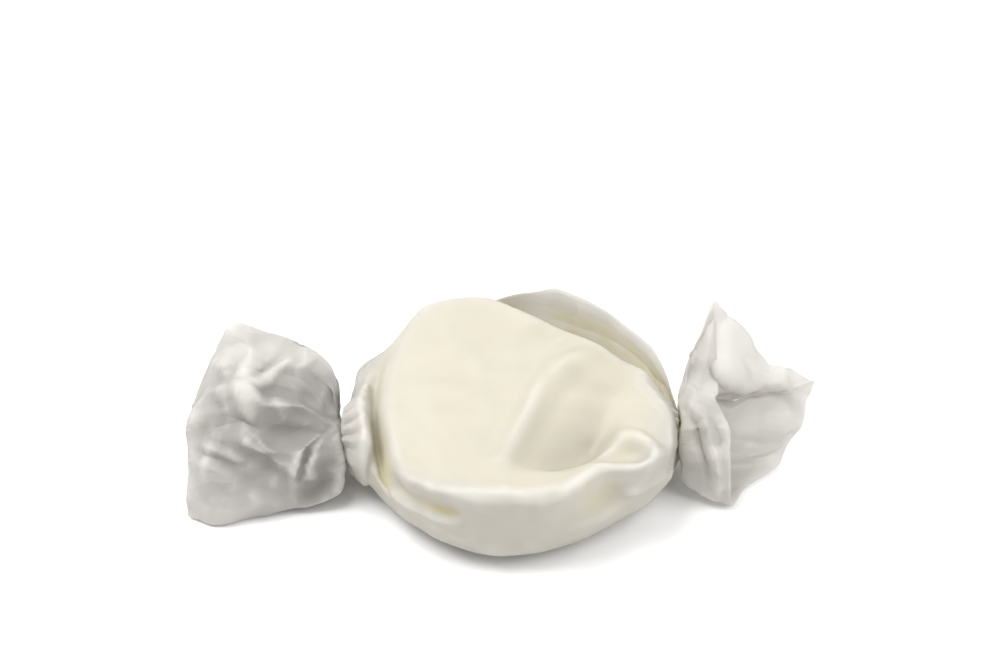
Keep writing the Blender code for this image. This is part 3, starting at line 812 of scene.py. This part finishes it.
class TaffyColours(bpy.types.PropertyGroup):
    """Colours of the candy, its paper and the floor."""

    candy: bpy.props.FloatVectorProperty(
        name="Candy", description="Colour of the taffy", default=(0.88, 0.84, 0.68), **COLOUR
    )
    paper: bpy.props.FloatVectorProperty(
        name="Paper", description="Colour of loose waxed paper", default=(0.86, 0.845, 0.82), **COLOUR
    )
    paper_on_candy: bpy.props.FloatVectorProperty(
        name="Paper on candy", description="Colour of the paper where it lies on the taffy",
        default=(0.65, 0.615, 0.505), **COLOUR
    )
    # Grey for the fans' darkened mark: painted shade in the fans, partly the greyer look of layered paper
    layered_and_shaded_paper: bpy.props.FloatVectorProperty(
        name="Layered and shaded paper", description="Colour of the paper where several layers lie together",
        default=(0.60, 0.585, 0.56), **COLOUR
    )
    # Darker paper mixed in along the top face's valleys: painted shade in the hollows
    shaded_valley_paper: bpy.props.FloatVectorProperty(
        name="Shaded valley paper", description="Colour of the paper where a hollow presses it hard onto the taffy",
        default=(0.53, 0.49, 0.40), **COLOUR
    )
    # Yellower paper in gaps and tuck mouths: partly the candy seen through it, partly painted light bounced
    # through the candy
    paper_in_hollows_and_bounced_light: bpy.props.FloatVectorProperty(
        name="Paper in hollows and bounced light", description="Colour of the paper deep in a tuck, with candy on both sides",
        default=(0.78, 0.72, 0.46), **COLOUR
    )
    # Whiter wax on convex crests: partly the whitening of creased wax, partly a painted highlight along the
    # crests
    folds: bpy.props.FloatVectorProperty(
        name="Folds", description="Colour of the wax where a sharp fold has whitened it",
        default=(0.93, 0.92, 0.89), **COLOUR
    )
    floor: bpy.props.FloatVectorProperty(
        name="Floor", description="Colour of the floor", default=(0.9, 0.9, 0.9), **COLOUR
    )


def add_node(nodes, kind, inputs=None, **settings):
    """A shader node of a kind, with its settings and then the values of its inputs, by name or number."""
    node = nodes.new("ShaderNode" + kind)
    for name, value in settings.items():
        setattr(node, name, value)
    for name, value in (inputs or {}).items():
        node.inputs[name].default_value = value
    return node


def join(*rows):
    """Links each row's node and output to its other node and that node's input."""
    for node, output, other, entry in rows:
        node.id_data.links.new(node.outputs[output], other.inputs[entry])


def new_material(name, inputs):
    """A material, its nodes, its output, and a shader with the given inputs."""
    material = bpy.data.materials.new(name)
    material.use_nodes = True
    nodes = material.node_tree.nodes
    nodes.clear()
    out = add_node(nodes, "OutputMaterial")
    shader = add_node(nodes, "BsdfPrincipled", inputs)
    return material, nodes, out, shader


def candy_material(colours):
    """Pulled sugar candy: cream, soft inside, faint streaks along the pull."""
    softness = {"Roughness": 0.42, "Subsurface Weight": 0.25, "Subsurface Radius": (0.003, 0.002, 0.001)}
    material, nodes, out, shader = new_material("pulled taffy", softness)
    place = add_node(nodes, "TexCoord")
    scale = add_node(nodes, "Mapping", {"Scale": (120.0, 420.0, 300.0)})
    streaks = add_node(nodes, "TexNoise", {"Scale": 1.0, "Detail": 4.0})
    ramp = add_node(nodes, "ValToRGB")
    bump = add_node(nodes, "Bump", {"Strength": 0.25, "Distance": 0.0002})
    candy = Vector(colours.candy)
    for element, position, colour in zip(ramp.color_ramp.elements, (0.3, 0.75), (candy * 0.94, candy)):
        element.position = position
        element.color = (*colour, 1.0)
    join(
        (place, "Object", scale, "Vector"),
        (scale, "Vector", streaks, "Vector"),
        (streaks, "Fac", ramp, "Fac"),
        (ramp, "Color", shader, "Base Color"),
        (streaks, "Fac", bump, "Height"),
        (bump, "Normal", shader, "Normal"),
        (shader, "BSDF", out, "Surface"),
    )
    return material


def crinkled_facets(nodes, sheet, touch):
    """Small flat facets of stiff paper, each with its own tilt, and how strongly they show."""
    scale = add_node(nodes, "Mapping", {"Scale": (260.0, 330.0, 1.0)})
    warp = add_node(nodes, "TexNoise", {"Scale": 0.45, "Detail": 1.0})
    push = add_node(nodes, "VectorMath", {1: (1.6, 1.6, 0.0)}, operation="MULTIPLY_ADD")
    cells = add_node(nodes, "TexVoronoi", {"Scale": 1.0}, voronoi_dimensions="2D")
    from_middle = add_node(nodes, "VectorMath", operation="SUBTRACT")
    tilt = add_node(nodes, "VectorMath", {1: (0.5, 0.5, 0.5)}, operation="SUBTRACT")
    height = add_node(nodes, "VectorMath", operation="DOT_PRODUCT")
    stiffness = add_node(nodes, "MapRange", {"To Min": 0.50, "To Max": 0.02})
    join(
        (sheet, "UV", scale, "Vector"),
        (scale, "Vector", warp, "Vector"),
        (warp, "Color", push, 0),
        (scale, "Vector", push, 2),
        (push, "Vector", cells, "Vector"),
        (push, "Vector", from_middle, 0),
        (cells, "Position", from_middle, 1),
        (cells, "Color", tilt, 0),
        (from_middle, "Vector", height, 0),
        (tilt, "Vector", height, 1),
        (touch, "Fac", stiffness, "Value"),
    )
    return height, stiffness


def paper_material(colours):
    """Waxed paper that light passes through: cream on the candy, grey-white where it is loose, with painted
    shade in its fans and valleys, partly painted bounced light in its hollows, and partly painted highlights
    on its crests.
    """
    gloss = {"Specular IOR Level": 0.4, "Coat Weight": 0.15, "Coat Roughness": 0.35}
    material, nodes, out, shader = new_material("waxed paper sheet", gloss)
    through = add_node(nodes, "BsdfTranslucent")
    both = add_node(nodes, "MixShader")
    marks = {}
    tint = None
    # Each mark mixes its colour into the paper: the candy's cream where it touches; painted shade in the
    # fans, partly for layered paper; painted shade in the face's valleys; yellow in the hollows, partly the
    # candy seen through and partly painted bounced light; whitened wax with a painted highlight on convex
    # crests
    for name, colour in (
        ("touch", colours.paper_on_candy),
        ("shaded_layers", colours.layered_and_shaded_paper),
        ("valley_shade", colours.shaded_valley_paper),
        ("depth", colours.paper_in_hollows_and_bounced_light),
        ("fold", colours.folds),
    ):
        marks[name] = add_node(nodes, "Attribute", attribute_name=name)
        mix = add_node(nodes, "Mix", {"A": (*colours.paper, 1.0), "B": (*colour, 1.0)}, data_type="RGBA")
        join((marks[name], "Fac", mix, "Factor"))
        if tint:
            join((tint, "Result", mix, "A"))
        tint = mix
    sheet = add_node(nodes, "UVMap", uv_map="sheet")
    fibre_scale = add_node(nodes, "Mapping", {"Scale": (900.0, 1500.0, 1.0)})
    fibres = add_node(nodes, "TexNoise", {"Scale": 1.0, "Detail": 3.0})
    wax_scale = add_node(nodes, "Mapping", {"Scale": (160.0, 200.0, 1.0)})
    wax = add_node(nodes, "TexNoise", {"Scale": 1.0, "Detail": 2.0})
    mottle = add_node(nodes, "Mix", {"Factor": 0.10}, data_type="RGBA", blend_type="MULTIPLY")
    rough = add_node(nodes, "MapRange", {"From Min": 0.3, "From Max": 0.7, "To Min": 0.45, "To Max": 0.60})
    bump = add_node(nodes, "Bump", {"Strength": 0.25, "Distance": 0.00004})
    crinkle = add_node(nodes, "Bump", {"Distance": 0.0012})
    thinness = add_node(nodes, "MapRange", {"To Min": 0.66, "To Max": 0.28})
    facets, stiffness = crinkled_facets(nodes, sheet, marks["touch"])
    join(
        (facets, "Value", crinkle, "Height"),
        (stiffness, "Result", crinkle, "Strength"),
        (crinkle, "Normal", bump, "Normal"),
        (marks["touch"], "Fac", thinness, "Value"),
        (thinness, "Result", both, "Fac"),
        (sheet, "UV", fibre_scale, "Vector"),
        (fibre_scale, "Vector", fibres, "Vector"),
        (sheet, "UV", wax_scale, "Vector"),
        (wax_scale, "Vector", wax, "Vector"),
        (tint, "Result", mottle, "A"),
        (wax, "Fac", mottle, "B"),
        (wax, "Fac", rough, "Value"),
        (rough, "Result", shader, "Roughness"),
        (fibres, "Fac", bump, "Height"),
        (mottle, "Result", shader, "Base Color"),
        (mottle, "Result", through, "Color"),
        (bump, "Normal", shader, "Normal"),
        (bump, "Normal", through, "Normal"),
        (shader, "BSDF", both, 1),
        (through, "BSDF", both, 2),
        (both, "Shader", out, "Surface"),
    )
    return material


def deselect_all():
    """Leaves nothing selected."""
    for obj in list(bpy.context.selected_objects):
        obj.select_set(False)


def turn_to(obj, place):
    """Turns a light or a camera to face a place."""
    obj.rotation_euler = (Vector(place) - obj.location).to_track_quat("-Z", "Y").to_euler()


def pressed_by_paper(shaped, sizes):
    """The candy's points pushed in where the paper's dents and tucks press on it, and flat where it rests."""
    points = wrapper_points(sizes.crumpling)[0]
    paper = BVHTree.FromPolygons(points.reshape(-1, 3).tolist(), grid_faces(points))
    gap = sizes.candy_gap / MM
    for k, (x, y, z) in enumerate(shaped):
        above = paper.ray_cast(Vector((x, y, FAR_OUT)), Vector((0.0, 0.0, -1.0)))[0]
        if above is not None and z > WAIST_Z:
            shaped[k, 2] = min(z, above.z - gap)
    for _ in range(PRESS_ROUNDS):
        for k, place in enumerate(shaped):
            near, normal, _, _ = paper.find_nearest(Vector(place))
            out = (Vector(place) - near).dot(normal)
            if out > -gap:
                shaped[k] = np.array(Vector(place) - normal * min(out + gap, LARGEST_PRESS))
    shaped[:, 2] = np.maximum(shaped[:, 2], UNDERSIDE_Z)
    return shaped


class TAFFY_OT_candy(bpy.types.Operator):
    """Adds the puck of taffy."""

    bl_idname = "taffy.candy"
    bl_label = "Candy"

    def execute(self, context):
        deselect_all()
        bpy.ops.mesh.primitive_uv_sphere_add(segments=160, ring_count=80, radius=1.0)
        candy = context.object
        candy.name = "taffy_puck"
        candy.data.name = "taffy_puck"
        start = np.empty(len(candy.data.vertices) * 3)
        candy.data.vertices.foreach_get("co", start)
        ways = start.reshape(-1, 3)
        reach = hull_reach(0.0, 0.0, WAIST_Z, *ways.T, -CANDY_INSET, paper=False)
        shaped = ways * reach[:, None] + (0.0, 0.0, WAIST_Z)
        shaped[:, 2] += face_relief(*shaped.T, paper=False)
        cut = rises(past_corner(shaped[:, 0], shaped[:, 1]), 0.0, 2.6) * rises(shaped[:, 2], 3.6, 3.0)
        shaped[:, 2] = shaped[:, 2] - CORNER_DEPTH * cut
        shaped = pressed_by_paper(shaped, context.scene.taffy_sizes)
        candy.data.vertices.foreach_set("co", (shaped * MM).ravel())
        candy.data.update()
        bpy.ops.object.shade_smooth()
        candy.data.materials.append(candy_material(context.scene.taffy_colours))
        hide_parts("taffy")
        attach(candy, "root")
        return {"FINISHED"}


class TAFFY_OT_wrapper(bpy.types.Operator):
    """Adds the sheet of waxed paper, rolled, twisted and crumpled."""

    bl_idname = "taffy.wrapper"
    bl_label = "Wrapper"

    def execute(self, context):
        deselect_all()
        sizes = context.scene.taffy_sizes
        points, along, around, depth, valley_shade, crest = wrapper_points(sizes.crumpling)
        mesh = bpy.data.meshes.new("wrapper_sheet")
        mesh.from_pydata((points * MM).reshape(-1, 3).tolist(), [], grid_faces(points))
        paper = bpy.data.objects.new("wrapper_sheet", mesh)
        context.collection.objects.link(paper)
        layer = mesh.uv_layers.new(name="sheet")
        loops = np.empty(len(mesh.loops), dtype=int)
        mesh.loops.foreach_get("vertex_index", loops)
        flat = np.stack([along.ravel()[loops], around.ravel()[loops]], axis=1) * MM
        layer.data.foreach_set("uv", flat.ravel())
        candy = bpy.data.objects["taffy_puck"].data
        places = [vertex.co for vertex in candy.vertices]
        surface = BVHTree.FromPolygons(places, [face.vertices for face in candy.polygons])
        away = np.array([surface.find_nearest(vertex.co)[3] for vertex in mesh.vertices]) / MM
        wall = falls(points[..., 2].ravel(), 4.6, 4.0)
        touch = np.exp(-np.maximum(away - 0.6, 0.0) / 0.9) * (1.0 - 0.5 * wall) * (1.0 - 0.7 * depth.ravel())
        # Whiter on convex crests away from the candy: partly whitened wax, partly a painted highlight
        folds = np.clip((crest - 0.02) / 0.12, 0.0, 1.0).ravel() * (1.0 - 0.85 * touch)
        # Painted shade in the fans, partly for their layered paper
        shaded_layers = gathered_layers_and_shade(points)
        marks = {"touch": touch, "shaded_layers": shaded_layers, "valley_shade": valley_shade, "depth": depth, "fold": folds}
        for name, values in marks.items():
            mesh.attributes.new(name, "FLOAT", "POINT").data.foreach_set("value", values.ravel())
        context.view_layer.objects.active = paper
        paper.select_set(True)
        bpy.ops.object.shade_smooth()
        thickness = paper.modifiers.new("paper thickness", "SOLIDIFY")
        thickness.thickness = sizes.paper_thickness
        thickness.offset = -1.0
        bpy.ops.object.modifier_apply(modifier=thickness.name)
        mesh.materials.append(paper_material(context.scene.taffy_colours))
        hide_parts("wrapper")
        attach(paper, "root")
        return {"FINISHED"}


class TAFFY_OT_stage(bpy.types.Operator):
    """Adds the floor, the lights and the camera."""

    bl_idname = "taffy.stage"
    bl_label = "Stage"

    def execute(self, context):
        deselect_all()
        scene = context.scene
        bpy.ops.mesh.primitive_plane_add(size=6.0, location=(0.0, 0.0, 0.0))
        floor = context.object
        floor.name = "floor"
        matt = {"Base Color": (*scene.taffy_colours.floor, 1.0), "Roughness": 0.8}
        material, _, out, shader = new_material("pale floor", matt)
        join((shader, "BSDF", out, "Surface"))
        floor.data.materials.append(material)
        scene.view_settings.view_transform = "Standard"
        world = bpy.data.worlds.new("soft white room")
        world.use_nodes = True
        background = world.node_tree.nodes["Background"]
        background.inputs["Color"].default_value = (1.0, 1.0, 1.0, 1.0)
        background.inputs["Strength"].default_value = ROOM_LIGHT
        scene.world = world
        for name, place, size, power in SOFTBOXES:
            lamp = bpy.data.lights.new(name, "AREA")
            lamp.energy = power
            lamp.size = size
            light = bpy.data.objects.new(name, lamp)
            scene.collection.objects.link(light)
            light.location = place
            turn_to(light, LIGHT_AIM)
        camera_data = bpy.data.cameras.new("camera")
        camera_data.lens = CAMERA_LENS
        camera_data.sensor_width = 36.0
        camera = bpy.data.objects.new("camera", camera_data)
        scene.collection.objects.link(camera)
        back, up = CAMERA_DISTANCE * math.cos(VIEW_LIFT), CAMERA_DISTANCE * math.sin(VIEW_LIFT)
        camera.location = (0.0, -back, up)
        turn_to(camera, CAMERA_AIM)
        scene.camera = camera
        return {"FINISHED"}


class TAFFY_PT_panel(bpy.types.Panel):
    """Lists the steps of the taffy."""

    bl_label = "Taffy"
    bl_idname = "TAFFY_PT_panel"
    bl_space_type = "VIEW_3D"
    bl_region_type = "UI"
    bl_category = "Taffy"

    def draw(self, context):
        column = self.layout.column()
        for operator in STEPS:
            column.operator(operator.bl_idname)
        for group in (context.scene.taffy_sizes, context.scene.taffy_colours):
            for name in group.bl_rna.properties.keys():
                if name not in ("rna_type", "name"):
                    column.prop(group, name)


STEPS = (TAFFY_OT_candy, TAFFY_OT_wrapper, TAFFY_OT_stage)
CLASSES = (TaffySizes, TaffyColours) + STEPS + (TAFFY_PT_panel,)


def register():
    for cls in CLASSES:
        bpy.utils.register_class(cls)
    bpy.types.Scene.taffy_sizes = bpy.props.PointerProperty(type=TaffySizes)
    bpy.types.Scene.taffy_colours = bpy.props.PointerProperty(type=TaffyColours)


def unregister():
    del bpy.types.Scene.taffy_colours
    del bpy.types.Scene.taffy_sizes
    for cls in reversed(CLASSES):
        bpy.utils.unregister_class(cls)


def main():
    register()
    bpy.ops.taffy.candy()
    bpy.ops.taffy.wrapper()
    bpy.ops.taffy.stage()


if __name__ == "__main__":
    main()
